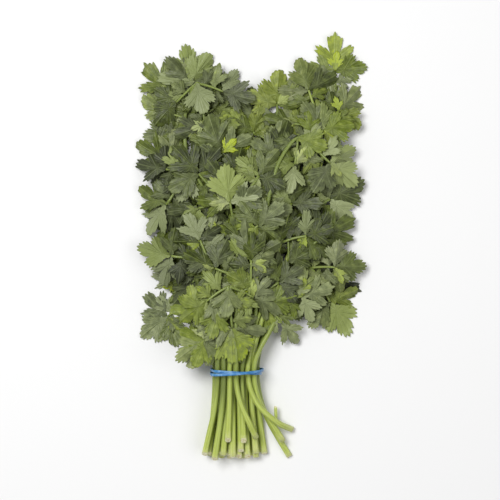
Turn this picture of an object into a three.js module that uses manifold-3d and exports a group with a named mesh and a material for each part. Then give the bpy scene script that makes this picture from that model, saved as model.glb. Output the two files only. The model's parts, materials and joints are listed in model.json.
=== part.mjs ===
// A bunch of flat-leaf parsley, tied with a blue elastic band and lying on a table.
//
// Every leafy stem is one solid: a tapered stalk that passes through the band, a leaf stalk that
// forks into three sprays, and the lobed leaflets of each spray. The stems are laid down one after
// another, and each one rests on what lies under it already, as stems do in a real bunch.
//
// Millimetres. +Y runs along the bunch from the cut ends to the leaf tips, +Z is up off the table.

import * as THREE from "three";
import Module from "manifold-3d";
import { mergeVertices } from "three/addons/utils/BufferGeometryUtils.js";

// ---- driving dimensions -------------------------------------------------------------------------

const stalkRadius = { cut: 2.3, band: 1.9, leaf: 1.25, branch: 0.9, spray: 0.85 };
const stalkGap = 0.35; // between stalks that lie side by side in the band
const stalkSides = 5;
const station = 26; // between the joints of a stalk
const bandMiddle = -5; // the leaves reach further to the right of the band than to its left
const tailSpread = 1.28; // how much wider the bunch is at the cut ends than at the band
const sag = 1.5; // the most that a joint hangs below the line between its neighbours
const branchRoot = 0.04; // how far back into the stalk's last piece its branches begin

const clearance = 0.6; // between a piece and what it is laid on
const bladeThickness = 0.72; // straight up; a sloping leaflet is a little thinner
const bladeSink = 0.8; // of a leaflet's underside below the middle of its stalk
const bladeRoot = 0.4; // how far back into the end of its stalk a spray's sheet begins
const pitches = [-0.4, -0.3, -0.2, -0.1, 0, 0.1, 0.2]; // slopes a leaflet may take
const rolls = [-0.3, -0.15, 0, 0.15, 0.3];

const bandWidth = 1.9; // of each of the two turns
const bandThickness = 1.0;
const bandPitch = 2.5; // between the two turns, along the bunch
const bandSteps = 72; // in both turns
const bandCrossing = 0; // where one turn passes over the other, to the right of the middle

// The rows of stalks in the band, from the table up, and each row from left to right. A stem is
// where the middle of its leaf comes, the leaf's heading in degrees to the right of straight up,
// the length of its longest leaflet and how many leaflets each side spray has. A stem whose cut end
// lies out of line also says where, with its heading there.
const rows = [
  {
    tail: 61,
    laid: [0, 6, 1, 5, 2, 4, 3],
    stems: [
      { at: [-47, 192], heading: -42, leaflet: 26, sides: [3, 3] },
      { at: [-36, 198], heading: -8, leaflet: 26, sides: [3, 3] },
      { at: [6, 168], heading: -4, leaflet: 26, sides: [3, 3] },
      { at: [24, 182], heading: 4, leaflet: 26, sides: [3, 3] },
      { at: [38, 146], heading: 60, leaflet: 24, sides: [1, 1] },
      { at: [48, 158], heading: 40, leaflet: 26, sides: [3, 2] },
      { at: [65, 206], heading: 2, leaflet: 25, sides: [2, 0] },
    ],
  },
  {
    tail: 60,
    laid: [0, 7, 1, 6, 2, 5, 3, 4],
    stems: [
      { at: [-42, 104], heading: -60, leaflet: 25, sides: [3, 3] },
      { at: [-46, 146], heading: -70, leaflet: 25, sides: [1, 2] },
      { at: [-28, 180], heading: 165, leaflet: 26, sides: [2, 2] },
      { at: [-12, 148], heading: -20, leaflet: 26, sides: [3, 3] },
      { at: [22, 146], heading: 14, leaflet: 26, sides: [3, 3] },
      { at: [48, 192], heading: -20, leaflet: 25, sides: [2, 2] },
      { at: [56, 118], heading: 60, leaflet: 25, sides: [2, 2] },
      { at: [54, 66], heading: 110, leaflet: 25, sides: [3, 3] },
    ],
  },
  {
    tail: 58,
    laid: [7, 0, 6, 1, 5, 2, 4, 3],
    stems: [
      { at: [-49, 41], heading: -122, leaflet: 24, sides: [2, 2] },
      { at: [-50, 122], heading: -140, leaflet: 25, sides: [2, 2] },
      { at: [-27, 134], heading: -40, leaflet: 25, sides: [2, 2] },
      { at: [-8, 112], heading: -10, leaflet: 26, sides: [3, 3] },
      { at: [8, 132], heading: 30, leaflet: 24, sides: [1, 1] },
      { at: [56, 150], heading: 130, leaflet: 25, sides: [2, 2] },
      { at: [32, 112], heading: 14, leaflet: 25, sides: [3, 3] },
      { at: [50, 90], heading: 50, leaflet: 25, sides: [2, 2], cut: [33, -61, 28] },
    ],
  },
  {
    tail: 50,
    laid: [0, 6, 5, 4, 2, 1, 3],
    stems: [
      { at: [-44, 80], heading: -80, leaflet: 24, sides: [3, 2], cut: [-27, -58, -8] },
      { at: [-24, 28], heading: -158, leaflet: 21, sides: [0, 2], cut: [-20, -61, -6] },
      { at: [-14, 70], heading: -60, leaflet: 24, sides: [2, 2] },
      { at: [-8, 38], heading: 174, leaflet: 25, sides: [2, 1], cut: [9, -46, 16] },
      { at: [6, 74], heading: -6, leaflet: 25, sides: [3, 3] },
      { at: [36, 52], heading: 75, leaflet: 23, sides: [2, 1], cut: [35, -42, 64] },
      { at: [58, 54], heading: 150, leaflet: 25, sides: [3, 3], cut: [28, -49, 24] },
    ],
  },
];

// A leaflet of unit length, half its outline: along the rib, then out from it.
const bladeSide = [
  [0.62, 0.46],
  [0.63, 0.24],
  [0.87, 0.27],
];
const bladeNeck = 0.07; // from the hub to where neighbouring leaflets part
const bladeRib = 0.5; // where the rib bends
const sideLeaflet = { turn: 77, size: 0.86 }; // the two leaflets beside a spray's middle one
const sideSpray = { turn: 60, reach: 0.75, size: 0.9 };
const rachis = 1.15; // from the side sprays to the top spray, in leaflet lengths

// ---- small helpers ------------------------------------------------------------------------------

const radians = (degrees) => (degrees * Math.PI) / 180;
const mix = (a, b, t) => a + (b - a) * t;
const clamp = (value, low, high) => Math.min(high, Math.max(low, value));

let seed = 20260;
function random(low, high) {
  seed = (Math.imul(seed, 1664525) + 1013904223) >>> 0;
  return mix(low, high, seed / 4294967296);
}

// Points on a curve that leaves a at one heading and comes to b at another.
function curve(a, fromHeading, b, toHeading, count) {
  const far = Math.hypot(b.x - a.x, b.y - a.y);
  const c = {
    x: a.x + Math.sin(radians(fromHeading)) * far * 0.4,
    y: a.y + Math.cos(radians(fromHeading)) * far * 0.4,
  };
  const d = {
    x: b.x - Math.sin(radians(toHeading)) * far * 0.2,
    y: b.y - Math.cos(radians(toHeading)) * far * 0.2,
  };
  return Array.from({ length: count }, (_, i) => {
    const t = (i + 1) / count;
    const [p, q, r, s] = [(1 - t) ** 3, 3 * t * (1 - t) ** 2, 3 * t * t * (1 - t), t ** 3];
    return {
      x: p * a.x + q * c.x + r * d.x + s * b.x,
      y: p * a.y + q * c.y + r * d.y + s * b.y,
    };
  });
}

// ---- the bed: how high the bunch reaches so far, over a grid of the table -------------------------

const cell = 1.2;
const bedCorner = { x: -130, y: -90 };
const bedColumns = Math.round(260 / cell);
const bedRows = Math.round(370 / cell);
const bladeBed = new Float64Array(bedColumns * bedRows); // leaflets only
const wholeBed = new Float64Array(bedColumns * bedRows); // leaflets and stalks

const cellAt = (x, y) =>
  Math.round((y - bedCorner.y) / cell) * bedColumns + Math.round((x - bedCorner.x) / cell);

function raise(bed, x, y, z) {
  const i = cellAt(x, y);
  bed[i] = Math.max(bed[i], z);
}

const laidTubes = []; // points along every stalk so far: x, y, z, radius

// ---- stalks: joints and the tubes between them ----------------------------------------------------

// Points every 1.5 mm or so between two joints.
function along(a, b) {
  const steps = Math.max(2, Math.ceil(Math.hypot(b.x - a.x, b.y - a.y) / 1.5));
  return Array.from({ length: steps + 1 }, (_, i) => {
    const t = i / steps;
    return {
      x: mix(a.x, b.x, t),
      y: mix(a.y, b.y, t),
      z: mix(a.z, b.z, t),
      r: mix(a.r, b.r, t),
    };
  });
}

const aboutTube = (p) => [[0, 0], [p.r, 0], [-p.r, 0], [0, p.r], [0, -p.r]];

// The lowest height at which a point of a tube clears the table, the leaflets and the stalks laid
// before it.
function tubeNeeds(p) {
  const overBand = Math.abs(p.y) < bandPitch + bandWidth ? bandThickness + 1.2 : 0;
  let height = p.r * Math.cos(Math.PI / stalkSides) + overBand;
  for (const [dx, dy] of aboutTube(p)) {
    const bed = bladeBed[cellAt(p.x + dx, p.y + dy)];
    if (bed > 0) height = Math.max(height, bed + p.r + clearance);
  }
  for (const q of laidTubes) {
    const reach = p.r + q.r + stalkGap;
    const square = (p.x - q.x) ** 2 + (p.y - q.y) ** 2;
    if (square < reach * reach) {
      height = Math.max(height, q.z + Math.sqrt(reach * reach - square));
    }
  }
  return height;
}

// Lays the tubes down: every joint starts high enough for all of the tubes that meet there, and
// then they sink by turns as far as the points along the tubes let them.
function settle(joints, tubes, lastStalkJoint) {
  const lowest = joints.map(({ z }) => z);
  const holds = joints.map(() => []);
  for (const [a, b] of tubes) {
    const points = along(joints[a], joints[b]);
    points.forEach((p, i) => {
      const t = i / (points.length - 1);
      const height = tubeNeeds(p);
      joints[a].z = Math.max(joints[a].z, height);
      joints[b].z = Math.max(joints[b].z, height);
      if (t < 1) holds[a].push({ other: b, share: 1 - t, height });
      if (t > 0) holds[b].push({ other: a, share: t, height });
    });
  }
  for (let pass = 0; pass < 12; pass++) {
    joints.forEach((joint, j) => {
      let least = lowest[j];
      for (const { other, share, height } of holds[j]) {
        least = Math.max(least, (height - (1 - share) * joints[other].z) / share);
      }
      if (j > 0 && j < lastStalkJoint) {
        least = Math.max(least, (joints[j - 1].z + joints[j + 1].z) / 2 - sag);
      }
      joint.z = Math.min(joint.z, mix(joint.z, least, 0.4));
    });
  }
}

// The stalk's joints in plan, from its cut end through the band to its leaf at the fork.
function stalkJoints(atBand, cut, fork, leafHeading) {
  const top = { x: atBand, y: 4 };
  const chord = (Math.atan2(fork.x - top.x, fork.y - top.y) * 180) / Math.PI;
  const bend = ((((leafHeading - chord) % 360) + 540) % 360) - 180;
  const pieces = Math.max(3, Math.round(Math.hypot(fork.x - top.x, fork.y - top.y) / station));
  const upper = curve(top, chord, fork, chord + clamp(bend, -45, 45), pieces);
  const lower = curve({ x: atBand, y: -4 }, 180, cut, 180 - cut.heading, 3).reverse();
  return [
    ...lower.map((p, i) => ({ ...p, z: 0, r: mix(stalkRadius.cut, stalkRadius.band, i / 3) })),
    { x: atBand, y: -4, z: 0, r: stalkRadius.band },
    { ...top, z: 0, r: stalkRadius.band },
    ...upper.map((p, i) => ({
      ...p,
      z: 0,
      r: mix(stalkRadius.band, stalkRadius.leaf, (i + 1) / pieces),
    })),
  ];
}

// ---- leaflets -----------------------------------------------------------------------------------

// Half the width of a leaflet of unit length, its notches left out.
function halfWidth(u) {
  if (u < 0.05) return 0.05;
  if (u < 0.62) return mix(0.06, 0.46, (u - 0.05) / 0.57);
  return mix(0.46, 0.06, clamp((u - 0.62) / 0.38, 0, 1));
}

// How far a leaflet's underside is above its root, at u along the rib and v across, in mm.
function bladeHeight(leaflet, u, v) {
  return (
    leaflet.pitch * u + leaflet.roll * v + leaflet.fold * Math.abs(v) -
    (leaflet.droop * u * u) / leaflet.length
  );
}

// Points over a leaflet and a margin round it.
function bladePoints(leaflet, margin) {
  const points = [];
  const dx = Math.sin(leaflet.heading);
  const dy = Math.cos(leaflet.heading);
  for (let u = -margin; u <= leaflet.length + margin; u += 1) {
    const half = halfWidth(clamp(u / leaflet.length, 0, 1)) * leaflet.length + margin;
    for (let v = -half; v <= half; v += 1) {
      points.push({
        u,
        v,
        x: leaflet.hub.x + dx * u + dy * v,
        y: leaflet.hub.y + dy * u - dx * v,
      });
    }
  }
  return points;
}

// The lowest root height at which a leaflet clears what is under it.
function bladeNeeds(leaflet, points) {
  let height = -Infinity;
  for (const p of points) height = Math.max(height, p.floor - bladeHeight(leaflet, p.u, p.v));
  return height;
}

// A leaflet with every slope that it may take and the root height that each of them needs.
function bladeChoices(leaflet) {
  const points = bladePoints(leaflet, 0.4);
  for (const p of points) {
    const bed = wholeBed[cellAt(p.x, p.y)];
    p.floor = bed > 0 ? bed + clearance : 0;
  }
  const flat = { ...leaflet, pitch: 0, roll: 0, fold: 0, droop: 0 };
  const choices = pitches.flatMap((pitch) =>
    rolls.map((roll) => ({
      ...leaflet,
      pitch: pitch + leaflet.tiltU,
      roll: roll + leaflet.tiltV,
    })),
  );
  return [flat, ...choices].map((choice) => ({ ...choice, needs: bladeNeeds(choice, points) }));
}

function pressLeaflet(leaflet, beds) {
  for (const p of bladePoints(leaflet, 1)) {
    const top = leaflet.hub.z - bladeSink + bladeHeight(leaflet, p.u, p.v) + bladeThickness;
    for (const bed of beds) raise(bed, p.x, p.y, top);
  }
}

// The leaflets of a spray: the middle one, then those beside it.
function sprayLeaflets(hub, heading, length, count, outward) {
  const turns = [[], [0], [0, outward], [0, -1, 1]][count];
  return turns.map((turn) => ({
    hub,
    heading: radians(heading + turn * (sideLeaflet.turn + random(-2, 4))),
    length: length * (turn ? sideLeaflet.size : 1) * random(0.92, 1.08),
    tiltU: random(-0.04, 0.04),
    tiltV: random(-0.06, 0.06),
    fold: random(-0.16, 0.08),
    droop: random(0, 0.2),
  }));
}

// ---- laying a leafy stem on the bunch -------------------------------------------------------------

// across is where its stalk passes through the band, from the band's middle.
function layStem(across, tail, stem) {
  const atBand = bandMiddle + across;
  const leafHeading = stem.heading + random(-4, 4);
  const step = (from, degrees, reach, r) => ({
    x: from.x + Math.sin(radians(degrees)) * reach,
    y: from.y + Math.cos(radians(degrees)) * reach,
    r,
    z: 0,
  });
  const fork = step({ x: stem.at[0], y: stem.at[1] }, leafHeading, -0.9 * stem.leaflet);
  const [x, y, heading] = stem.cut || [
    bandMiddle + across * tailSpread + random(-1.2, 1.2),
    random(-2, 3) - tail,
    across * 0.5,
  ];
  const joints = stalkJoints(atBand, { x, y, heading }, fork, leafHeading);
  const tubes = joints.slice(1).map((_, i) => [i, i + 1]);
  const forkJoint = joints.length - 1;

  const sprays = [];
  const branch = (degrees, reach, size, count, outward) => {
    const hub = step(joints[forkJoint], degrees, reach, stalkRadius.spray);
    joints.push(hub);
    tubes.push([forkJoint, joints.length - 1]);
    const leaflets = sprayLeaflets(hub, degrees, size, count, outward).map(bladeChoices);
    const lowest = leaflets.map((choices) => Math.min(...choices.map(({ needs }) => needs)));
    hub.z = Math.max(...lowest) + bladeSink;
    sprays.push(leaflets);
  };
  for (const [side, count] of [[-1, stem.sides[0]], [1, stem.sides[1]]]) {
    if (count === 0) continue;
    branch(
      leafHeading + side * (sideSpray.turn + random(-5, 5)),
      sideSpray.reach * stem.leaflet,
      sideSpray.size * stem.leaflet,
      count,
      side,
    );
  }
  branch(leafHeading, rachis * stem.leaflet, 1.06 * stem.leaflet, 3, 0);
  settle(joints, tubes, forkJoint);

  // Each leaflet hangs as low as it can from where its stalk has come to lie.
  const laid = sprays.map((leaflets) =>
    leaflets.map((choices) => {
      const possible = choices.filter(({ needs, hub }) => needs <= hub.z - bladeSink + 1e-6);
      return possible.reduce((best, choice) => (choice.pitch < best.pitch ? choice : best));
    }),
  );

  for (const [a, b] of tubes) {
    for (const p of along(joints[a], joints[b])) {
      laidTubes.push(p);
      for (const [dx, dy] of aboutTube(p)) raise(wholeBed, p.x + dx, p.y + dy, p.z + p.r);
    }
  }
  for (const leaflet of laid.flat()) pressLeaflet(leaflet, [bladeBed, wholeBed]);
  return { joints, sprays: laid, forkJoint };
}

// ---- solids -------------------------------------------------------------------------------------

const wasm = await Module();
wasm.setup();

function solid(geometry) {
  geometry.deleteAttribute("normal");
  geometry.deleteAttribute("uv");
  const merged = mergeVertices(geometry, 1e-4);
  return new wasm.Manifold(
    new wasm.Mesh({
      numProp: 3,
      vertProperties: new Float32Array(merged.attributes.position.array),
      triVerts: new Uint32Array(merged.index.array),
    }),
  );
}

function geometryOf(manifold) {
  const mesh = manifold.getMesh();
  return new THREE.BufferGeometry()
    .setAttribute("position", new THREE.BufferAttribute(mesh.vertProperties, 3))
    .setIndex(new THREE.BufferAttribute(mesh.triVerts, 1))
    .toNonIndexed();
}

function indexed(points, faces) {
  return new THREE.BufferGeometry()
    .setAttribute("position", new THREE.Float32BufferAttribute(points.flat(), 3))
    .setIndex(faces.flat());
}

// A closed tube along a line of joints, tapering from each joint's radius to the next.
function tube(joints, sides) {
  const points = [];
  const faces = [];
  const centres = joints.map((j) => new THREE.Vector3(j.x, j.y, j.z));
  centres.forEach((centre, i) => {
    const before = centres[Math.max(0, i - 1)];
    const after = centres[Math.min(centres.length - 1, i + 1)];
    const forward = after.clone().sub(before).normalize();
    const across = new THREE.Vector3(forward.y, -forward.x, 0).normalize();
    const upward = across.clone().cross(forward);
    for (let s = 0; s < sides; s++) {
      const angle = (2 * Math.PI * (s + (sides % 2 ? 0 : 0.5))) / sides;
      const p = centre
        .clone()
        .addScaledVector(across, Math.sin(angle) * joints[i].r)
        .addScaledVector(upward, Math.cos(angle) * joints[i].r);
      points.push(p.toArray());
    }
  });
  const last = (joints.length - 1) * sides;
  for (let i = 0; i < joints.length - 1; i++) {
    for (let s = 0; s < sides; s++) {
      const a = i * sides + s;
      const b = i * sides + ((s + 1) % sides);
      faces.push([a, b, a + sides], [b, b + sides, a + sides]);
    }
  }
  for (let s = 1; s < sides - 1; s++) {
    faces.push([0, s + 1, s], [last, last + s, last + s + 1]);
  }
  return indexed(points, faces);
}

// A spray's leaflets as one sheet. Each is a fan of triangles round its rib, the same above and
// below, and neighbours share the point where they part.
function sheet(leaflets) {
  const ordered = [...leaflets].sort((a, b) => a.heading - b.heading);
  const { hub, heading: forward } = leaflets[0];
  const at = (leaflet, u, v) => [
    hub.x + Math.sin(leaflet.heading) * u + Math.cos(leaflet.heading) * v,
    hub.y + Math.cos(leaflet.heading) * u - Math.sin(leaflet.heading) * v,
    hub.z - bladeSink + bladeHeight(leaflet, u, v),
  ];
  const points = [
    [
      hub.x - Math.sin(forward) * bladeRoot,
      hub.y - Math.cos(forward) * bladeRoot,
      hub.z - bladeSink,
    ],
  ];
  const faces = [];
  const add = (point) => points.push(point) - 1;
  const necks = ordered.map((leaflet, i) => {
    const { heading, length } = leaflet;
    const before = ordered[i - 1];
    const half = before ? (heading - before.heading) / 2 : radians(38);
    const u = Math.cos(half) * bladeNeck * length;
    const v = Math.sin(half) * bladeNeck * length;
    if (!before) return add(at(leaflet, u, -v));
    const own = at(leaflet, u, -v);
    const other = at(before, u, v);
    return add(own.map((value, axis) => (value + other[axis]) / 2));
  });
  const last = ordered[ordered.length - 1];
  const neck = bladeNeck * last.length;
  const end = radians(38);
  necks.push(add(at(last, Math.cos(end) * neck, Math.sin(end) * neck)));
  ordered.forEach((leaflet, i) => {
    const place = ([u, v]) => add(at(leaflet, u * leaflet.length, v * leaflet.length));
    const left = bladeSide.map(([u, v]) => place([u, -v]));
    const tip = place([1, 0]);
    const right = bladeSide.map(place).reverse();
    const rib = place([bladeRib, 0]);
    const ring = [0, necks[i], ...left, tip, ...right, necks[i + 1]];
    ring.forEach((p, k) => faces.push([p, rib, ring[(k + 1) % ring.length]]));
  });
  const count = points.length;
  points.push(...points.map(([x, y, z]) => [x, y, z + bladeThickness]));
  const edges = new Set(faces.flatMap(([p, q, r]) => [`${p},${q}`, `${q},${r}`, `${r},${p}`]));
  const walls = [];
  for (const edge of edges) {
    const [p, q] = edge.split(",").map(Number);
    if (!edges.has(`${q},${p}`)) walls.push([p, q, q + count], [p, q + count, p + count]);
  }
  const upper = faces.map((face) => face.map((p) => p + count));
  return indexed(points, [...faces.map(([p, q, r]) => [p, r, q]), ...upper, ...walls]);
}

function leafyStem({ joints, sprays, forkJoint }) {
  const stalk = joints.slice(0, forkJoint + 1);
  const [before, fork] = stalk.slice(-2);
  const root = {
    x: mix(fork.x, before.x, branchRoot),
    y: mix(fork.y, before.y, branchRoot),
    z: mix(fork.z, before.z, branchRoot),
    r: stalkRadius.branch,
  };
  const parts = [
    tube(stalk, stalkSides),
    ...joints.slice(forkJoint + 1).map((hub) => tube([root, hub], 4)),
    ...sprays.map(sheet),
  ];
  // The body alone, without any crack that the leaflets close off where they meet.
  const shells = wasm.Manifold.union(parts.map(solid)).simplify(0.04).decompose();
  return geometryOf(shells.reduce((best, shell) => (shell.volume() > best.volume() ? shell : best)));
}

// ---- the elastic band -----------------------------------------------------------------------------

// The convex loop round a set of points, as [x, z], counterclockwise.
function hull(points) {
  const sorted = [...points].sort((a, b) => a[0] - b[0] || a[1] - b[1]);
  const chain = (list) => {
    const kept = [];
    for (const p of list) {
      while (kept.length > 1) {
        const [a, b] = kept.slice(-2);
        if ((b[0] - a[0]) * (p[1] - a[1]) - (b[1] - a[1]) * (p[0] - a[0]) > 0) break;
        kept.pop();
      }
      kept.push(p);
    }
    return kept.slice(0, -1);
  };
  return [...chain(sorted), ...chain(sorted.reverse())];
}

// A place on the loop, its share of the way round, and the way out of the loop there.
function onLoop(loop, share) {
  const lengths = loop.map((p, i) => {
    const q = loop[(i + 1) % loop.length];
    return Math.hypot(q[0] - p[0], q[1] - p[1]);
  });
  let left = (share - Math.floor(share)) * lengths.reduce((sum, length) => sum + length, 0);
  let i = 0;
  while (left > lengths[i] && i < loop.length - 1) left -= lengths[i++];
  const [p, q] = [loop[i], loop[(i + 1) % loop.length]];
  const t = left / lengths[i];
  return [mix(p[0], q[0], t), mix(p[1], q[1], t)];
}

// A flat rubber strand wound twice round the stalks. Its turns lie side by side but for one place on
// the upper side, where the strand passes over itself from one turn to the other.
function elasticBand(crossings) {
  const away = stalkGap + 0.15 + bandThickness / 2;
  const loop = hull(
    crossings.flatMap(({ x, z }) =>
      Array.from({ length: 24 }, (_, i) => {
        const angle = (i / 24) * 2 * Math.PI;
        const r = stalkRadius.band + away;
        return [x + Math.cos(angle) * r, z + Math.sin(angle) * r];
      }),
    ),
  );
  const places = Array.from({ length: 400 }, (_, i) => ({ share: i / 400, at: onLoop(loop, i / 400) }));
  const top = places.reduce((best, place) =>
    place.at[1] - Math.abs(place.at[0] - bandCrossing) * 9 >
    best.at[1] - Math.abs(best.at[0] - bandCrossing) * 9 ? place : best,
  );
  const points = [];
  for (let i = 0; i < bandSteps; i++) {
    const turn = (i / bandSteps) * 2 * Math.PI;
    const share = top.share + 0.5 + (2 * i) / bandSteps;
    const [x, z] = onLoop(loop, share);
    const [before, after] = [onLoop(loop, share - 0.02), onLoop(loop, share + 0.02)];
    const length = Math.hypot(after[0] - before[0], after[1] - before[1]);
    const out = [(after[1] - before[1]) / length, -(after[0] - before[0]) / length];
    const y = (bandPitch / 2) * clamp(1.8 * Math.cos(turn), -1, 1);
    const lift = 1.45 * clamp((Math.sin(turn) - 0.5) / 0.3, 0, 1);
    for (const [dy, dr] of [[-1, -1], [1, -1], [1, 1], [-1, 1]]) {
      const reach = lift + (dr * bandThickness) / 2;
      points.push([x + out[0] * reach, y + (dy * bandWidth) / 2, z + out[1] * reach]);
    }
  }
  const faces = [];
  for (let i = 0; i < bandSteps; i++) {
    for (let s = 0; s < 4; s++) {
      const [a, b] = [i * 4 + s, i * 4 + ((s + 1) % 4)];
      const [c, d] = [((i + 1) % bandSteps) * 4 + s, ((i + 1) % bandSteps) * 4 + ((s + 1) % 4)];
      faces.push([a, c, b], [b, c, d]);
    }
  }
  return indexed(points, faces).toNonIndexed();
}

// ---- the bunch ----------------------------------------------------------------------------------

const leafGreens = ["#5d6b38", "#6f7f45", "#818f52"];
const bandBlue = "#2f6fb8";
const bunch = new THREE.Group();
const crossings = []; // where the stalks pass through the band

function addNode(name, geometry, color, roughness) {
  const material = new THREE.MeshStandardMaterial({ color, roughness, metalness: 0 });
  const mesh = new THREE.Mesh(geometry, material);
  mesh.name = name;
  bunch.add(mesh);
}

for (const { tail, laid, stems } of rows) {
  for (const i of laid) {
    const across = (i - (stems.length - 1) / 2) * (2 * stalkRadius.band + stalkGap + 0.1);
    const stem = layStem(across, tail, stems[i]);
    crossings.push(...stem.joints.filter(({ y }) => Math.abs(y) === 4));
    const number = bunch.children.length + 1;
    const name = `leafy_stem_${String(number).padStart(2, "0")}`;
    addNode(name, leafyStem(stem), leafGreens[number % 3], 0.6);
  }
}
addNode("elastic_band", elasticBand(crossings), bandBlue, 0.45);

// The middle of the bunch's underside comes to the origin.
const box = new THREE.Box3().setFromObject(bunch);
for (const mesh of bunch.children) {
  mesh.geometry.translate(-(box.min.x + box.max.x) / 2, -(box.min.y + box.max.y) / 2, -box.min.z);
}

export default bunch;
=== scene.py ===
# %% [markdown]
# # A bunch of flat-leaf parsley
#
# Thirty leafy stems lie in four rows on a pale table. A blue elastic band holds them near their
# cut ends. This lesson dresses a plain model of that bunch: every faceted stem gets round, grooved
# stalks and thin, toothed leaflets, and the band gets rounded rubber strands.

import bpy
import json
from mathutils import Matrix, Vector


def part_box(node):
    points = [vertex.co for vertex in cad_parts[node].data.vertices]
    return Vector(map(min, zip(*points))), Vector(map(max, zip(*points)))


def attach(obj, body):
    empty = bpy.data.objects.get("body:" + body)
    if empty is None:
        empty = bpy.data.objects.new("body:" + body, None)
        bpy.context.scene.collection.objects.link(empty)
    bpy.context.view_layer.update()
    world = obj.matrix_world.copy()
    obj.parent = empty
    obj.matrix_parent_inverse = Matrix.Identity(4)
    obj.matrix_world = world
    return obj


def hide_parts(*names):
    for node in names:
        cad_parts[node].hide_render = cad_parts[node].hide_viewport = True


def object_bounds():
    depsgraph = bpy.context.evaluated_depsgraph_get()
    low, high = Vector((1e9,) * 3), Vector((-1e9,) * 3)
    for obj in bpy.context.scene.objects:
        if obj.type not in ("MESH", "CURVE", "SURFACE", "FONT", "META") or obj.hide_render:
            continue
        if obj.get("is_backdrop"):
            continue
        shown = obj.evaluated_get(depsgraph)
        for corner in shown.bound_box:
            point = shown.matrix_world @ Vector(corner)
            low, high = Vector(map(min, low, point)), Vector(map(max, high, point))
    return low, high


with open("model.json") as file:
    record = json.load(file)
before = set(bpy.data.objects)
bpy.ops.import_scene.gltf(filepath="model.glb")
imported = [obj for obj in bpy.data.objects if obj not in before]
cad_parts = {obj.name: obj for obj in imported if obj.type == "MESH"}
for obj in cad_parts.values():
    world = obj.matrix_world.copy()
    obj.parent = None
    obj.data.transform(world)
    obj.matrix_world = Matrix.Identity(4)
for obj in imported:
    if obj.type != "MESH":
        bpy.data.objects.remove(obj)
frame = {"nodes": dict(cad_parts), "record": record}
CAD_BOX = [list(corner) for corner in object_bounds()]

import json
import math
from functools import partial

import bmesh
import bpy
import numpy as np
from mathutils import Vector

MM = 0.001  # Blender works in metres, and this script thinks in millimetres
SLOT_OF = {part["node"]: part["material_slot"] for part in frame["record"]["subparts"]}
print("the bunch measures", [round((high - low) / MM) for low, high in zip(*CAD_BOX)], "mm")

# %% [markdown]
# ## Where everything lies
#
# The plain model was made by a rule: stems are laid down one after another, and each one sinks
# until it rests on the table or on what lies there already. The fine pieces have to lie in the very
# same places. They could be read off the plain mesh, but its facets don't say which of them is a
# rib or a stalk. So the same rule runs again here, with the same repeatable draws, and gives the
# joints of every stalk and the slope of every leaflet.

# %% The driving sizes of the bunch
STALK_RADIUS = {"cut": 2.3, "band": 1.9, "leaf": 1.25, "spray": 0.85}
STALK_GAP = 0.35  # between stalks that lie side by side in the band
FACET_DROP = math.cos(math.pi / 5)  # the plain stalks have five sides and stand on a flat one
STATION = 26  # between the joints of a stalk
TAIL_PIECES = 3  # of every stalk, from its cut end to the band
MOST_TURN = 45  # degrees by which a stalk turns towards its leaf, at most
BAND_MIDDLE = -5  # the leaves reach further to the right of the band
BAND_STRAIGHT = 4.0  # half the length of stalk that runs straight through the band
BAND_ZONE = 4.4  # and half the length that the band may touch
TAIL_SPREAD = 1.28  # how much wider the bunch is at its cut ends
SAG = 1.5  # of a joint below the line between its neighbours, at most
CLEARANCE = 0.6  # between a part and what it rests on
BLADE_THICKNESS = 0.72
BLADE_SINK = 0.8  # of a leaflet's root under the end of its branch
FORK_BACK = 0.9  # leaflet lengths from the middle of a leaf back to its fork
BRANCH_ANGLE = 60
SIDE_BRANCH = (0.75, 0.9)  # its reach and its longest leaflet, in leaflet lengths
MIDDLE_BRANCH = (1.15, 1.06)
BAND_LIFT = 2.2  # what the band takes up under the lowest stalks
BLADE_CORNERS = [(0.62, -0.46), (0.62, 0.46), (0.87, -0.27), (0.87, 0.27), (1, 0)]

# Each stem: where the middle of its leaf comes, the leaf's heading in degrees to the right of
# straight up, its longest leaflet, the leaflets on its left and right sprays, and for a stem that
# lies out of line, where its cut end is and how it heads there.
ROWS = [
    {"tail": 61, "laid": [0, 6, 1, 5, 2, 4, 3], "stems": [
        (-47, 192, -42, 26, (3, 3)), (-36, 198, -8, 26, (3, 3)), (6, 168, -4, 26, (3, 3)),
        (24, 182, 4, 26, (3, 3)), (38, 146, 60, 24, (1, 1)), (48, 158, 40, 26, (3, 2)),
        (65, 206, 2, 25, (2, 0)),
    ]},
    {"tail": 60, "laid": [0, 7, 1, 6, 2, 5, 3, 4], "stems": [
        (-42, 104, -60, 25, (3, 3)), (-46, 146, -70, 25, (1, 2)), (-28, 180, 165, 26, (2, 2)),
        (-12, 148, -20, 26, (3, 3)), (22, 146, 14, 26, (3, 3)), (48, 192, -20, 25, (2, 2)),
        (56, 118, 60, 25, (2, 2)), (54, 66, 110, 25, (3, 3)),
    ]},
    {"tail": 58, "laid": [7, 0, 6, 1, 5, 2, 4, 3], "stems": [
        (-49, 41, -122, 24, (2, 2)), (-50, 122, -140, 25, (2, 2)), (-27, 134, -40, 25, (2, 2)),
        (-8, 112, -10, 26, (3, 3)), (8, 132, 30, 24, (1, 1)), (56, 150, 130, 25, (2, 2)),
        (32, 112, 14, 25, (3, 3)), (50, 90, 50, 25, (2, 2), (33, -61, 28)),
    ]},
    {"tail": 50, "laid": [0, 6, 5, 4, 2, 1, 3], "stems": [
        (-44, 80, -80, 24, (3, 2), (-27, -58, -8)), (-24, 28, -158, 21, (0, 2), (-20, -61, -6)),
        (-14, 70, -60, 24, (2, 2)), (-8, 38, 174, 25, (2, 1), (9, -46, 16)),
        (6, 74, -6, 25, (3, 3)), (36, 52, 75, 23, (2, 1), (35, -42, 64)),
        (58, 54, 150, 25, (3, 3), (28, -49, 24)),
    ]},
]
print(sum(len(row["stems"]) for row in ROWS), "stems in", len(ROWS), "rows")

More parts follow.
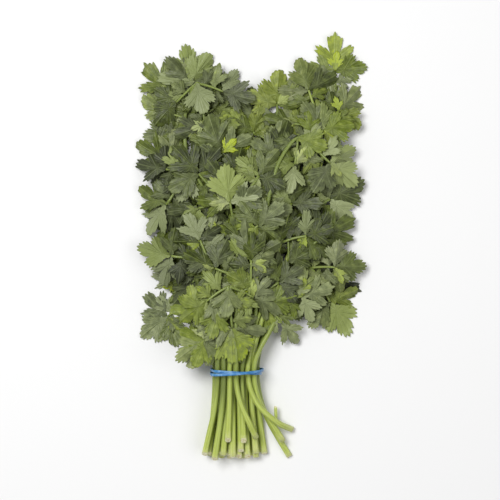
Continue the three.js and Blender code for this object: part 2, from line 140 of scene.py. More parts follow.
# %% Repeatable draws and headings
class Draws:
    """Draws numbers that look random, in the same order every time."""

    def __init__(self, seed):
        self.state = seed

    def __call__(self, low, high):
        self.state = (self.state * 1664525 + 1013904223) % 2**32
        return low + (high - low) * (self.state / 2**32)


draw = Draws(20260)
BOW_SHARES = (0.4, 0.2)  # how far a bow keeps the heading of its start and of its end


def heading(degrees):
    """One step in a direction so many degrees to the right of straight up the bunch."""
    return np.array([math.sin(math.radians(degrees)), math.cos(math.radians(degrees))])


def bow(start, start_degrees, end, end_degrees, count):
    """Points on a bow that leaves start at one heading and comes to end at another."""
    far = math.hypot(*(end - start))
    leaving = start + heading(start_degrees) * far * BOW_SHARES[0]
    coming = end - heading(end_degrees) * far * BOW_SHARES[1]
    return [
        (1 - t) ** 3 * start
        + 3 * t * (1 - t) ** 2 * leaving
        + 3 * t * t * (1 - t) * coming
        + t**3 * end
        for t in (i / count for i in range(1, count + 1))
    ]


print("a heading of 90 degrees points to", heading(90).round(3))

# %% The bed: how high the bunch reaches so far
CELL = 1.2
BED_CORNER = np.array([-130, -90])
BED_COLUMNS, BED_ROWS = (round(side / CELL) for side in (260, 370))
blade_bed = np.zeros(BED_COLUMNS * BED_ROWS)  # the tops of leaflets, cell by cell
whole_bed = blade_bed.copy()  # the tops of leaflets and stalks
laid_tubes = np.zeros((0, 4))  # points along every stalk so far: x, y, z, radius


def cell_at(x, y):
    """The cell of the table under a point."""
    column = np.floor((x - BED_CORNER[0]) / CELL + 0.5)
    row = np.floor((y - BED_CORNER[1]) / CELL + 0.5)
    return (row * BED_COLUMNS + column).astype(int)


def around(points):
    """Five places across a stalk at each point: its middle and four sides."""
    x, y, r = points[:, 0], points[:, 1], points[:, 3]
    return [(x + dx * r, y + dy * r) for dx, dy in [(0, 0), (1, 0), (-1, 0), (0, 1), (0, -1)]]


print(len(whole_bed), "cells of", CELL, "mm")

# %% [markdown]
# A stalk is a chain of straight tubes here, and its joints are what moves. Each joint first rises
# above everything it could touch, and then all of them sink by turns, a little at a time.

# %% Let a stem sink onto the bunch
POINT_STEP = 1.5
SINK_TURNS = 12
SINK_SHARE = 0.4  # of the way down that a joint goes at each turn


def along(a, b):
    """Points between two joints, a point step apart or less."""
    steps = max(2, math.ceil(math.hypot(b[0] - a[0], b[1] - a[1]) / POINT_STEP))
    shares = np.arange(steps + 1)[:, None] / steps
    return a + (b - a) * shares


def tube_needs(points):
    """The lowest height at which each point of a tube clears what lies under it."""
    r = points[:, 3]
    needs = r * FACET_DROP + np.where(np.abs(points[:, 1]) < BAND_ZONE, BAND_LIFT, 0)
    for x, y in around(points):
        bed = blade_bed[cell_at(x, y)]
        needs = np.where(bed > 0, np.maximum(needs, bed + r + CLEARANCE), needs)
    if len(laid_tubes):
        reach = r[:, None] + laid_tubes[:, 3] + STALK_GAP
        square = (points[:, :1] - laid_tubes[:, 0]) ** 2 + (points[:, 1:2] - laid_tubes[:, 1]) ** 2
        rise = laid_tubes[:, 2] + np.sqrt(np.maximum(reach**2 - square, 0))
        needs = np.maximum(needs, np.where(square < reach**2, rise, 0).max(axis=1))
    return needs


def settle(joints, tubes, last_stalk_joint):
    """Lays a stem's tubes down on what is there, by moving its joints."""
    lowest = joints[:, 2].copy()
    holds = [[] for _ in joints]
    for a, b in tubes:
        points = along(joints[a], joints[b])
        needs = tube_needs(points)
        joints[[a, b], 2] = np.maximum(joints[[a, b], 2], needs.max())
        shares = np.arange(len(points)) / (len(points) - 1)
        holds[a].append((b, 1 - shares[:-1], needs[:-1]))
        holds[b].append((a, shares[1:], needs[1:]))
    for _ in range(SINK_TURNS):
        for j, hold in enumerate(holds):
            least = lowest[j]
            for other, share, needs in hold:
                least = max(least, ((needs - (1 - share) * joints[other, 2]) / share).max())
            if 0 < j < last_stalk_joint:
                least = max(least, (joints[j - 1, 2] + joints[j + 1, 2]) / 2 - SAG)
            joints[j, 2] += min(0, (least - joints[j, 2]) * SINK_SHARE)


def stalk_joints(at_band, cut, cut_degrees, fork, leaf_degrees):
    """The joints in plan, from the cut end through the band to the fork: x, y, z, radius."""
    top, foot = np.array([at_band, BAND_STRAIGHT]), np.array([at_band, -BAND_STRAIGHT])
    chord = math.degrees(math.atan2(*(fork - top)))
    bend = (leaf_degrees - chord + 540) % 360 - 180
    pieces = max(3, math.floor(math.hypot(*(fork - top)) / STATION + 0.5))
    upper = bow(top, chord, fork, chord + min(MOST_TURN, max(-MOST_TURN, bend)), pieces)
    lower = bow(foot, 180, cut, 180 - cut_degrees, TAIL_PIECES)[::-1]
    cut_r, band_r, leaf_r = (STALK_RADIUS[place] for place in ("cut", "band", "leaf"))
    radii = [cut_r + (band_r - cut_r) * i / TAIL_PIECES for i in range(TAIL_PIECES)]
    radii += [band_r, band_r]
    radii += [band_r + (leaf_r - band_r) * (i + 1) / pieces for i in range(pieces)]
    places = [*lower, foot, top, *upper]
    return [np.array([*place, 0, r]) for place, r in zip(places, radii)]


straight = stalk_joints(0, np.array([0, -60]), 0, np.array([0, 120]), 0)
print(len(straight), "joints on a straight stalk of 180 mm")

# %% [markdown]
# A leaflet is a flat blade that may slope along its rib and across it, fold along the rib and
# droop. Of all the slopes that keep it clear of what is under it, it takes the lowest.

# %% Let the leaflets hang
PITCHES = [-0.4, -0.3, -0.2, -0.1, 0, 0.1, 0.2]
ROLLS = [-0.3, -0.15, 0, 0.15, 0.3]
SIDE_TURN, SIDE_SIZE = 77, 0.86


def half_width(share):
    """Half the width of a leaflet of unit length, its clefts left out."""
    widening = 0.06 + 0.4 * (share - 0.05) / 0.57
    narrowing = 0.46 - 0.4 * np.clip((share - 0.62) / 0.38, 0, 1)
    return np.where(share < 0.05, 0.05, np.where(share < 0.62, widening, narrowing))


def blade_height(leaflet, u, v):
    """How far a leaflet's underside is above its root, at u along the rib and v across."""
    slope = leaflet["pitch"] * u + leaflet["roll"] * v + leaflet["fold"] * np.abs(v)
    return slope - leaflet["droop"] * u * u / leaflet["length"]


def on_table(leaflet, u, v):
    """Where a point of a leaflet is on the table."""
    s, c = math.sin(leaflet["turn"]), math.cos(leaflet["turn"])
    return leaflet["hub"][0] + s * u + c * v, leaflet["hub"][1] + c * u - s * v


def blade_points(leaflet, margin):
    """Points over a leaflet and a margin round it, as u and v."""
    length, u, v = leaflet["length"], [], []
    for step in np.arange(-margin, length + margin, 1):
        half = half_width(np.clip(step / length, 0, 1)) * length + margin
        across = np.arange(-half, half, 1)
        u.extend([step] * len(across))
        v.extend(across)
    return np.array(u), np.array(v)


def blade_choices(leaflet):
    """The leaflet with every slope that it may take and the root height that each one needs."""
    u, v = blade_points(leaflet, 0.4)
    bed = whole_bed[cell_at(*on_table(leaflet, u, v))]
    floor = np.where(bed > 0, bed + CLEARANCE, 0)
    choices = [{**leaflet, "pitch": 0, "roll": 0, "fold": 0, "droop": 0}]
    for pitch in PITCHES:
        for roll in ROLLS:
            slopes = {"pitch": pitch + leaflet["tilt_u"], "roll": roll + leaflet["tilt_v"]}
            choices.append({**leaflet, **slopes})
    for choice in choices:
        choice["needs"] = (floor - blade_height(choice, u, v)).max()
    return choices


def spray_leaflets(hub, degrees, length, count, outward):
    """The leaflets of a spray: the middle one, then those beside it."""
    leaflets = []
    for turn in [[], [0], [0, outward], [0, -1, 1]][count]:
        leaflets.append({
            "hub": hub,
            "turn": math.radians(degrees + turn * (SIDE_TURN + draw(-2, 4))),
            "length": length * (SIDE_SIZE if turn else 1) * draw(0.92, 1.08),
            "tilt_u": draw(-0.04, 0.04),
            "tilt_v": draw(-0.06, 0.06),
            "fold": draw(-0.16, 0.08),
            "droop": draw(0, 0.2),
        })
    return leaflets


print(len(PITCHES) * len(ROLLS) + 1, "ways for a leaflet to lie")

# %% Lay one stem after another
def raise_bed(joints, tubes, hung):
    """Adds the stalks and leaflets of a stem to what lies on the table."""
    global laid_tubes
    for a, b in tubes:
        points = along(joints[a], joints[b])
        laid_tubes = np.vstack([laid_tubes, points])
        for x, y in around(points):
            np.maximum.at(whole_bed, cell_at(x, y), points[:, 2] + points[:, 3])
    for one in hung:
        u, v = blade_points(one, 1)
        top = one["hub"][2] - BLADE_SINK + blade_height(one, u, v) + BLADE_THICKNESS
        for bed in (blade_bed, whole_bed):
            np.maximum.at(bed, cell_at(*on_table(one, u, v)), top)


def lay_stem(across, tail, x, y, degrees, leaflet, sides, cut=None):
    """Lays a stem that passes through the band across from its middle, and returns its parts."""
    at_band = BAND_MIDDLE + across
    leaf_degrees = degrees + draw(-4, 4)
    fork = np.array([x, y]) - heading(leaf_degrees) * FORK_BACK * leaflet
    end_x, end_y, end_degrees = cut or (
        BAND_MIDDLE + across * TAIL_SPREAD + draw(-1.2, 1.2),
        draw(-2, 3) - tail,
        across * 0.5,
    )
    joints = stalk_joints(at_band, np.array([end_x, end_y]), end_degrees, fork, leaf_degrees)
    fork_joint = len(joints) - 1
    tubes = [(i, i + 1) for i in range(fork_joint)]

    sprays, angles = [], []
    branches = [(side, count) for side, count in zip((-1, 1), sides) if count] + [(0, 3)]
    for side, count in branches:
        angle = leaf_degrees + side * (BRANCH_ANGLE + draw(-5, 5)) if side else leaf_degrees
        angles.append(angle)
        reach, size = (share * leaflet for share in (SIDE_BRANCH if side else MIDDLE_BRANCH))
        hub = np.array([*(fork + heading(angle) * reach), 0, STALK_RADIUS["spray"]])
        spray = [blade_choices(one) for one in spray_leaflets(hub, angle, size, count, side)]
        hub[2] = max(min(one["needs"] for one in choices) for choices in spray) + BLADE_SINK
        joints.append(hub)
        tubes.append((fork_joint, len(joints) - 1))
        sprays.append(spray)
    joints = np.array(joints)
    settle(joints, tubes, fork_joint)

    hung = []
    for hub, spray in zip(joints[fork_joint + 1 :], sprays):
        for choices in spray:
            possible = [one for one in choices if one["needs"] <= hub[2] - BLADE_SINK + 1e-6]
            hung.append({**min(possible, key=lambda one: one["pitch"]), "hub": hub})
    raise_bed(joints, tubes, hung)
    return {"joints": joints, "fork": fork_joint, "angles": angles, "leaflets": hung}


stems = []
for row in ROWS:
    for i in row["laid"]:
        across = (i - (len(row["stems"]) - 1) / 2) * (2 * STALK_RADIUS["band"] + STALK_GAP + 0.1)
        stems.append(lay_stem(across, row["tail"], *row["stems"][i]))
print(sum(len(stem["leaflets"]) for stem in stems), "leaflets hang on", len(stems), "stems")

# %% [markdown]
# The plan above has its own corner on the table. The plain stems tell how far it has to move:
# the furthest leaflet corners of every stem are compared with the box of the same stem in the
# frame. Nearly all of them ask for the same shift, and the count that is printed is the proof.

# %% Find the shift from the plan to the frame
def furthest_corner(stem):
    """The highest x, y and z that a stem's leaflets reach in the plan."""
    corners = []
    for one in stem["leaflets"]:
        for share_u, share_v in BLADE_CORNERS:
            u, v = share_u * one["length"], share_v * one["length"]
            top = one["hub"][2] - BLADE_SINK + blade_height(one, u, v) + BLADE_THICKNESS
            corners.append([*on_table(one, u, v), top])
    return np.array(corners).max(axis=0)


asked = []
for number, stem in enumerate(stems, 1):
    stem["node"] = f"leafy_stem_{number:02d}"
    stem["greening"] = 0.6 + 1.6 * (number * 0.618 % 1)  # some stalks are green further down
    high = np.array(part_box(stem["node"])[1]) / MM
    asked.append(high - furthest_corner(stem))
SHIFT = np.median(asked, axis=0)
agreeing = (np.abs(asked - SHIFT) < 0.1).sum(axis=0)
print("shift", SHIFT.round(3), "mm, asked for by", agreeing, "of", len(stems), "stems")

# %% [markdown]
# ## A leaflet blank
#
# A leaflet of flat-leaf parsley is a thin wedge that opens into three lobes, and each lobe is
# toothed. Its veins fan out from one place near the stalk and run to the tips of the teeth. The
# outline could be drawn point by point and filled, but the faces would then lie across the veins.
# Here a single spoke is spun into a disc, and each spoke is pulled out to its tooth or cleft. So
# the edges of the mesh run as the veins do, and the tissue can swell between them.

# %% Half outlines, as degrees from the rib and reach in leaflet lengths
VEIN_ROOT = 0.28  # where the veins part, along the rib
VEIN_STEP = 13  # degrees from one vein to the next
RIB_STEP = 4 * VEIN_STEP  # and from the rib of one lobe to that of the next
CLEFT = 31  # degrees to the cleft between the middle lobe and a side lobe
BROAD_HALF = [
    (0, 0.71), (4.5, 0.65), (9, 0.69), (13.5, 0.60), (18, 0.64), (22, 0.54), (26, 0.55),
    (CLEFT, 0.38), (36, 0.50), (40, 0.47), (45, 0.58), (49.5, 0.51), (54, 0.62), (59, 0.51),
    (64, 0.57), (70, 0.44), (76, 0.46), (84, 0.32), (96, 0.24), (116, 0.19), (145, 0.17),
    (173, 0.26),
]
LOBED_HALF = [
    (0, 0.72), (5, 0.65), (10, 0.68), (14.5, 0.57), (19, 0.59), (24, 0.45), (CLEFT, 0.25),
    (37, 0.43), (41, 0.42), (46, 0.56), (50, 0.51), (54, 0.61), (59, 0.52), (64.5, 0.56),
    (70, 0.39), (76, 0.41), (86, 0.26), (112, 0.18), (145, 0.16), (173, 0.25),
]
YOUNG_HALF = [
    (0, 0.74), (8, 0.62), (16, 0.62), (CLEFT, 0.28), (41, 0.46), (46, 0.44), (54, 0.60),
    (61, 0.46), (68, 0.47), (86, 0.24), (125, 0.16), (172, 0.26),
]
LEAF_RINGS = (0.3, 0.58, 0.8, 0.93, 1.0)  # places of the vertices along a spoke
YOUNG_RINGS = (0.45, 0.8, 1.0)
EDGE_BULGE = 0.15  # how much the edge of a tooth is rounded outwards
rng = np.random.default_rng(7)


def whole_outline(half, uneven):
    """Angles and reaches all the way round, with a point between every tooth and cleft."""
    whole = half + [(360 - angle, reach) for angle, reach in half[:0:-1]]
    corners = [(angle, reach * rng.uniform(1 - uneven, 1 + uneven)) for angle, reach in whole]
    following = corners[1:] + [(360, corners[0][1])]
    rounded = []
    for (angle, reach), (next_angle, next_reach) in zip(corners, following):
        bulge = EDGE_BULGE * abs(next_reach - reach)
        rounded += [(angle, reach), ((angle + next_angle) / 2, (reach + next_reach) / 2 + bulge)]
    return np.array(rounded).T


print(len(whole_outline(BROAD_HALF, 0)[0]), "points round a leaflet")

# %% [markdown]
# The blank is one millimetre long for now and one thin sheet. Extruding it turns the sheet into a
# shell with a top, an underside and a rim, and a number on every vertex remembers which side it
# is on. A second attribute, grain, remembers where the vertex was on the flat blank: the material
# draws its veins there, so they stay in place however the leaflet is bent later.

# %% Spin and shape the blank
SWELL, BLANK_THICKNESS = 0.01, 0.01  # in leaflet lengths


def swelling(angles, shares):
    """How far the tissue swells between the veins, in leaflet lengths."""
    between = np.abs(np.sin(np.pi * angles / VEIN_STEP))
    front = np.cos(np.radians(np.minimum(np.abs(angles), 90)))
    return SWELL * between * np.sqrt(front) * shares * (1.15 - shares)


def leaf_blank(name, half, rings, uneven):
    """A flat leaflet of unit length, with its stalk end at the origin and its rib along X."""
    angles, reaches = whole_outline(half, uneven)
    bm = bmesh.new()
    under = bm.verts.layers.float.new("under")
    bm.verts.layers.float_vector.new("grain")
    spoke = [bm.verts.new((share, 0, 0)) for share in (0, *rings)]
    edges = [bm.edges.new(pair) for pair in zip(spoke, spoke[1:])]
    bmesh.ops.spin(bm, geom=spoke + edges, cent=(0, 0, 0), axis=(0, 0, 1),
                   angle=2 * math.pi, steps=len(angles), use_merge=True)
    bmesh.ops.remove_doubles(bm, verts=bm.verts, dist=1e-5)
    for vert in bm.verts:
        share = vert.co.length
        place = round(math.atan2(vert.co.y, vert.co.x) / (2 * math.pi) * len(angles)) % len(angles)
        angle = (angles[place] + 180) % 360 - 180
        reach = share * reaches[place]
        turn = math.radians(angle)
        forward, aside = VEIN_ROOT + reach * math.cos(turn), reach * math.sin(turn)
        vert.co = (forward, aside, swelling(angle, share))
        vert[under] = 1
    made = bmesh.ops.extrude_face_region(bm, geom=bm.faces, use_keep_orig=True)
    for vert in made["geom"]:
        if isinstance(vert, bmesh.types.BMVert):
            vert[under] = 0
            vert.co.z += BLANK_THICKNESS
    bmesh.ops.recalc_face_normals(bm, faces=bm.faces)
    for face in bm.faces:
        face.smooth = True
    mesh = bpy.data.meshes.new(name)
    bm.to_mesh(mesh)
    bm.free()
    return mesh


BROAD = [leaf_blank(f"broad_{i}", BROAD_HALF, LEAF_RINGS, 0.06) for i in range(3)]
LOBED = [leaf_blank(f"lobed_{i}", LOBED_HALF, LEAF_RINGS, 0.08) for i in range(3)]
SMALL = [leaf_blank(f"small_{i}", LOBED_HALF, YOUNG_RINGS, 0.1) for i in range(3)]
YOUNG = [leaf_blank(f"young_{i}", YOUNG_HALF, YOUNG_RINGS, 0.1) for i in range(3)]
print([len(mesh.polygons) for mesh in BROAD + LOBED + SMALL + YOUNG], "faces on the blanks")

# %% [markdown]
# A living leaflet is never flat. Each lobe folds along its rib and curls at its tip, the edge is
# ruffled, and the whole leaflet leans and half closes. Lattice or Simple Deform modifiers could
# bend it, but nearly seven hundred leaflets would need a stack of them each. So every bend is a
# height over the flat blank, worked out for all its vertices at once, and the heights add up.

# %% Bend a blank onto its blade
LEAF_THICKNESS = 0.34
LOWEST = 0.25  # a leaflet that would dip below this bends up again, half as far
HIGHEST = CAD_BOX[1][2] / MM - 0.5  # one that would stand above this bends over
BENT_OVER = 0.1  # to this share of what stood above
FRONT = 85  # degrees from the middle rib to the end of the side lobes
FOLD = (-0.55, 0.3)  # slope of a lobe down from its rib
CURL = (-0.22, 0.2)  # height of a lobe's tip, in leaflet lengths
WAVES = (4, 12)  # ruffles round the edge
RUFFLE = 0.035  # and their height, in leaflet lengths
LEAN, CLOSED = (-0.35, 0.35), (-0.1, 0.5)  # of the whole leaflet, in radians
SIDE_BEND = 0.12  # of the rib, in leaflet lengths


def bend_leaflet(blank, leaflet):
    """The places of a leaflet's vertices in the frame, their sides and their grain."""
    places, under = np.empty(3 * len(blank.vertices)), np.empty(len(blank.vertices))
    blank.vertices.foreach_get("co", places)
    blank.attributes["under"].data.foreach_get("value", under)
    length = leaflet["length"]
    u, v, swell = places.reshape(-1, 3).T * length
    swell = swell - BLANK_THICKNESS * length * (under < 0.5)
    from_root = u - VEIN_ROOT * length
    grain = np.column_stack([from_root, v, np.zeros_like(u)])
    angle, reach = np.degrees(np.arctan2(v, from_root)), np.hypot(from_root, v)
    front = reach / length * (np.abs(angle) < FRONT)
    lobe = np.where(np.abs(angle) < CLEFT, 1, np.where(angle < 0, 0, 2))
    rib_turn = np.radians(angle - (lobe - 1) * RIB_STEP)
    fold = rng.uniform(*FOLD, 3)[lobe] * np.abs(np.sin(rib_turn)) * reach
    curl = rng.uniform(*CURL, 3)[lobe] * front**2 * length
    waves, turns = rng.uniform(*WAVES, 2), rng.uniform(0, 6, 2)
    ruffle = sum(np.sin(np.radians(angle * wave) + turn) for wave, turn in zip(waves, turns))
    lift = fold + curl + RUFFLE * length * ruffle * front**2
    lean, closed = rng.uniform(*LEAN), rng.uniform(*CLOSED)
    sideways = SIDE_BEND * rng.uniform(-1, 1) * u**2 / length
    lift = lift + v * math.sin(lean) - np.abs(v) * math.sin(closed)
    v = v * math.cos(lean) * math.cos(closed) + sideways
    flipped = leaflet["flipped"]
    z = leaflet["hub"][2] - BLADE_SINK + blade_height(leaflet, u, v) + BLADE_THICKNESS / 2
    above_table = z + lift + SHIFT[2] - LOWEST
    above_table = np.where(above_table < 0, -0.5 * above_table, above_table)
    above_table = np.minimum(above_table, HIGHEST + BENT_OVER * (above_table - HIGHEST))
    z = above_table + LOWEST + swell * (-1 if flipped else 1) + (0.5 - under) * LEAF_THICKNESS
    x, y = on_table(leaflet, u, v)
    sides = 1 - under if flipped else under
    return np.column_stack([x + SHIFT[0], y + SHIFT[1], z]), sides, grain


print("leaflets stay between", LOWEST, "and about", round(HIGHEST), "mm")

# %% [markdown]
# A leaflet's tone goes from 0, an old, dark leaf, to 1, a young, pale one. A noise texture could
# vary it, but then one leaflet would be half dark and half pale. So it is an attribute with one
# value all over a leaflet. Whole patches of the bunch are paler or darker as well: painted light
# and painted shade where its leaves got more or less light, and patches where they were pressed.

# %% Add a leaflet and its tone to a stem
LIGHT_SHADE_AND_PRESSED_PATCHES = [  # the middle of each patch on the plan, how far it reaches and what it adds to the tone
    (-57, 66, 32, -0.3), (-40, 28, 18, -0.25), (78, 156, 22, -0.45), (76, 62, 26, -0.3),
    (61, 122, 20, 0.2), (36, 29, 22, 0.35), (-57, 210, 26, 0.2),
]
DARKEST = -0.2  # the lowest tone


def add_leaflet(bm, blank, leaflet, tone):
    """Adds a bent copy of a blank to the stem's mesh."""
    middle = on_table(leaflet, leaflet["length"] / 2, 0)
    # Patches make the tone paler and darker: painted light, painted shade, and pressed leaves.
    for x, y, reach, more in LIGHT_SHADE_AND_PRESSED_PATCHES:
        tone += more * max(0, 1 - math.dist(middle, (x, y)) / reach)
    tone = max(tone, DARKEST)
    count = len(bm.verts)
    bm.from_mesh(blank)
    bm.verts.ensure_lookup_table()
    layers = bm.verts.layers
    tone_layer, under_layer = layers.float["tone"], layers.float["under"]
    grain_layer = layers.float_vector["grain"]
    for vert, place, side, grain in zip(bm.verts[count:], *bend_leaflet(blank, leaflet)):
        vert.co = place * MM
        vert[tone_layer], vert[under_layer], vert[grain_layer] = tone, side, grain


print(len(LIGHT_SHADE_AND_PRESSED_PATCHES), "darker or paler patches")

# %% [markdown]
# ## Stalks
#
# A parsley stalk is a slim green tube with seven low ridges along it, thickest at the cut end and
# forked where the leaf starts. A curve object with a round bevel would do, but it has no ridges
# and no cut face. So a cone primitive with equal ends is cut into stations and then bent: every
# vertex keeps its place round the stalk and its share of the way along, and both are carried over
# to a smooth path through the joints.

# %% Smooth paths and bent tubes
RIDGES = 7
RIDGE_HEIGHT = 0.05  # as a share of the radius
STALK_SIDES = 3 * RIDGES
STATION_LENGTH = 4.0
ROUNDNESS = 0.93  # a round stalk is this much slimmer than the corners of its plain one
ABOVE_TABLE = 0.03
BLADE, SKIN, PITH = range(3)  # the order of the finishes on a stem


def smooth_path(joints, step):
    """Points on a smooth line through the joints, with their radii: x, y, z, r."""
    gaps = np.linalg.norm(np.diff(joints[:, :3], axis=0), axis=1)
    knots = np.concatenate([[0], np.cumsum(gaps)])
    slopes = np.gradient(joints, knots, axis=0)
    places = np.linspace(0, knots[-1], max(3, round(knots[-1] / step)) + 1)
    span = np.clip(np.searchsorted(knots, places, side="right") - 1, 0, len(gaps) - 1)
    width = gaps[span][:, None]
    t = (places - knots[span])[:, None] / width
    return (
        (2 * t**3 - 3 * t**2 + 1) * joints[span]
        + (t**3 - 2 * t**2 + t) * width * slopes[span]
        + (3 * t**2 - 2 * t**3) * joints[span + 1]
        + (t**3 - t**2) * width * slopes[span + 1]
    )


def add_tube(bm, path, sides, ridge, tones, slant=0.0):
    """Adds a tube along a path of x, y, z, r. ridge is the height of its ridges, tones are those
    of its two ends, and slant tips the face at its start."""
    count, edge_count = len(bm.verts), len(bm.edges)
    made = bmesh.ops.create_cone(bm, cap_ends=True, segments=sides, radius1=1, radius2=1, depth=1)
    for face in {face for vert in made["verts"] for face in vert.link_faces}:
        face.smooth = len(face.verts) == 4
        at_start = face.calc_center_median().z < 0
        face.material_index = SKIN if face.smooth else PITH if at_start else BLADE
    bm.edges.ensure_lookup_table()
    edges = bm.edges[edge_count:]
    long_edges = [edge for edge in edges if edge.verts[0].co.z != edge.verts[1].co.z]
    bmesh.ops.subdivide_edges(bm, edges=long_edges, cuts=len(path) - 2, use_grid_fill=False)
    bm.verts.ensure_lookup_table()
    layers = bm.verts.layers
    tone_layer, grain_layer = layers.float["tone"], layers.float_vector["grain"]
    tangents = np.gradient(path[:, :3], axis=0)
    tangents /= np.linalg.norm(tangents, axis=1)[:, None]
    across = np.cross(tangents, (0, 0, 1))
    across /= np.linalg.norm(across, axis=1)[:, None]
    upward = np.cross(across, tangents)
    lengths = np.concatenate([[0], np.cumsum(np.linalg.norm(np.diff(path[:, :3], axis=0), axis=1))])
    for vert in bm.verts[count:]:
        station = round((vert.co.z + 0.5) * (len(path) - 1))
        turn = math.atan2(vert.co.y, vert.co.x)
        r = path[station, 3] * ROUNDNESS * (1 + ridge * math.cos(RIDGES * turn))
        side, up = r * math.cos(turn), r * math.sin(turn)
        place = path[station, :3] + across[station] * side + upward[station] * up
        if station == 0:
            place = place + tangents[0] * up * slant
        vert.co = (place + SHIFT) * MM
        vert.co.z = max(vert.co.z, ABOVE_TABLE * MM)
        vert[tone_layer] = tones[0] + (tones[1] - tones[0]) * station / (len(path) - 1)
        vert[grain_layer] = (side, up, lengths[station])


print(len(smooth_path(np.array(straight), STATION_LENGTH)), "stations on the straight stalk")

# %% The stalks of a stem
CUT_SLANT = (-0.2, 0.9)  # no two stalks are cut at the same slant
BRANCH_SIDES, BRANCH_STATION = 9, 3
BRANCH_ROOT = 1.2  # how much thicker a branch is at the fork
BRANCH_SWAY = [0.04, 0.04, 0, 0]  # how far the middle of a branch leans the way of the stalk
SNAPPED_SHOOT = {  # the stub of a side shoot, snapped off between the band and the cut ends
    "node": "leafy_stem_16",
    "y": -42,
    # From its tip to its root on the stalk: what to add to x, y, z and radius there.
    "joints": np.array([[2, 15, 1, -0.9], [2.2, 7, 0.8, -0.8], [0, 0, 0, -0.6]]),
}


def add_stalks(bm, stem):
    """Adds the stem's main stalk, up to its middle spray, and the stalks of its side sprays."""
    joints, fork = stem["joints"], stem["fork"]
    main = smooth_path(np.vstack([joints[: fork + 1], joints[-1:]]), STATION_LENGTH)
    greening, slant = (0, stem["greening"]), rng.uniform(*CUT_SLANT)
    add_tube(bm, main, STALK_SIDES, RIDGE_HEIGHT, greening, slant)
    for hub in joints[fork + 1 : -1]:
        start = joints[fork].copy()
        start[3] = BRANCH_ROOT * STALK_RADIUS["spray"]
        middle = (start + hub) / 2 + (start - joints[fork - 1]) * BRANCH_SWAY
        branch = smooth_path(np.array([start, middle, hub]), BRANCH_STATION)
        add_tube(bm, branch, BRANCH_SIDES, ridge=0, tones=(0.9, 1))
    if stem["node"] == SNAPPED_SHOOT["node"]:
        root = main[np.abs(main[:, 1] - SNAPPED_SHOOT["y"]).argmin()]
        shoot = smooth_path(root + SNAPPED_SHOOT["joints"], 2)
        add_tube(bm, shoot, BRANCH_SIDES, ridge=0, tones=(0.1, 0.4), slant=0.6)


print("a branch has", BRANCH_SIDES, "sides and a stalk", STALK_SIDES)

# %% [markdown]
# ## Materials
#
# Every finish is worked out from what the real surface is made of. Colours are written as the hex
# values that a screen shows, and one function turns them into the linear values that light adds
# up in. One more function adds a node, sets it and wires it up.

# %% Colours and nodes
def linear(hex_colour):
    """The linear colour of an sRGB hex value, with alpha."""
    parts = [int(hex_colour[i : i + 2], 16) / 255 for i in (1, 3, 5)]
    return (*[p / 12.92 if p <= 0.04045 else ((p + 0.055) / 1.055) ** 2.4 for p in parts], 1)


def add_node(material, kind, inputs=None, output=0, stops=(), to=None, **settings):
    """Adds a node and returns one of its outputs, which may also feed the socket to. Its inputs
    are values or the sockets that feed it, stops are the places and hex colours of a ramp, and
    settings are its other properties."""
    made = material.node_tree.nodes.new("ShaderNode" + kind)
    wire = material.node_tree.links.new
    for name, value in settings.items():
        setattr(made, name, value)
    for name, value in (inputs or {}).items():
        if isinstance(value, bpy.types.NodeSocket):
            wire(value, made.inputs[name])
        else:
            made.inputs[name].default_value = value
    for i, (place, colour) in enumerate(stops):
        elements = made.color_ramp.elements
        stop = elements[i] if i < 2 else elements.new(1)
        stop.position, stop.color = place, linear(colour)
    if to:
        wire(made.outputs[output], to)
    return made.outputs[output]


def surface(name, ior, roughness):
    """A new material, the inputs of its shader, and its own add_node."""
    material = bpy.data.materials.new(name)
    material.use_nodes = True
    shader = material.node_tree.nodes["Principled BSDF"].inputs
    shader["IOR"].default_value = ior
    shader["Roughness"].default_value = roughness
    return material, shader, partial(add_node, material)


print("half grey is", round(linear("#808080")[0], 3), "of full light")

# %% [markdown]
# A parsley leaf is waxy living tissue: dark green above, where the light meets a smooth skin, and
# pale and dull below. Its veins are thin and lighter than the tissue between them. The veins fan
# out at even angles, so a sine of the angle round the vein root, times the distance from it,
# gives how far a point is from the nearest vein in millimetres.

# %% Leaf blade
def vein_share(node, angle, far, step, width):
    """1 on the veins that run out every so many degrees, 0 beside them."""
    fan = math.pi / math.radians(step)
    turn = node("Math", {0: angle, 1: fan}, operation="MULTIPLY")
    wave = node("Math", {0: turn}, operation="SINE")
    aside = node("Math", {0: wave, 1: far}, operation="MULTIPLY")
    aside = node("Math", {0: aside}, operation="ABSOLUTE")
    # A vein fades out between 0.1 mm and its width from its middle, in units of the wave.
    return node("MapRange", {0: aside, 1: 0.1 * fan, 2: width * fan, 3: 1.0, 4: 0.0})


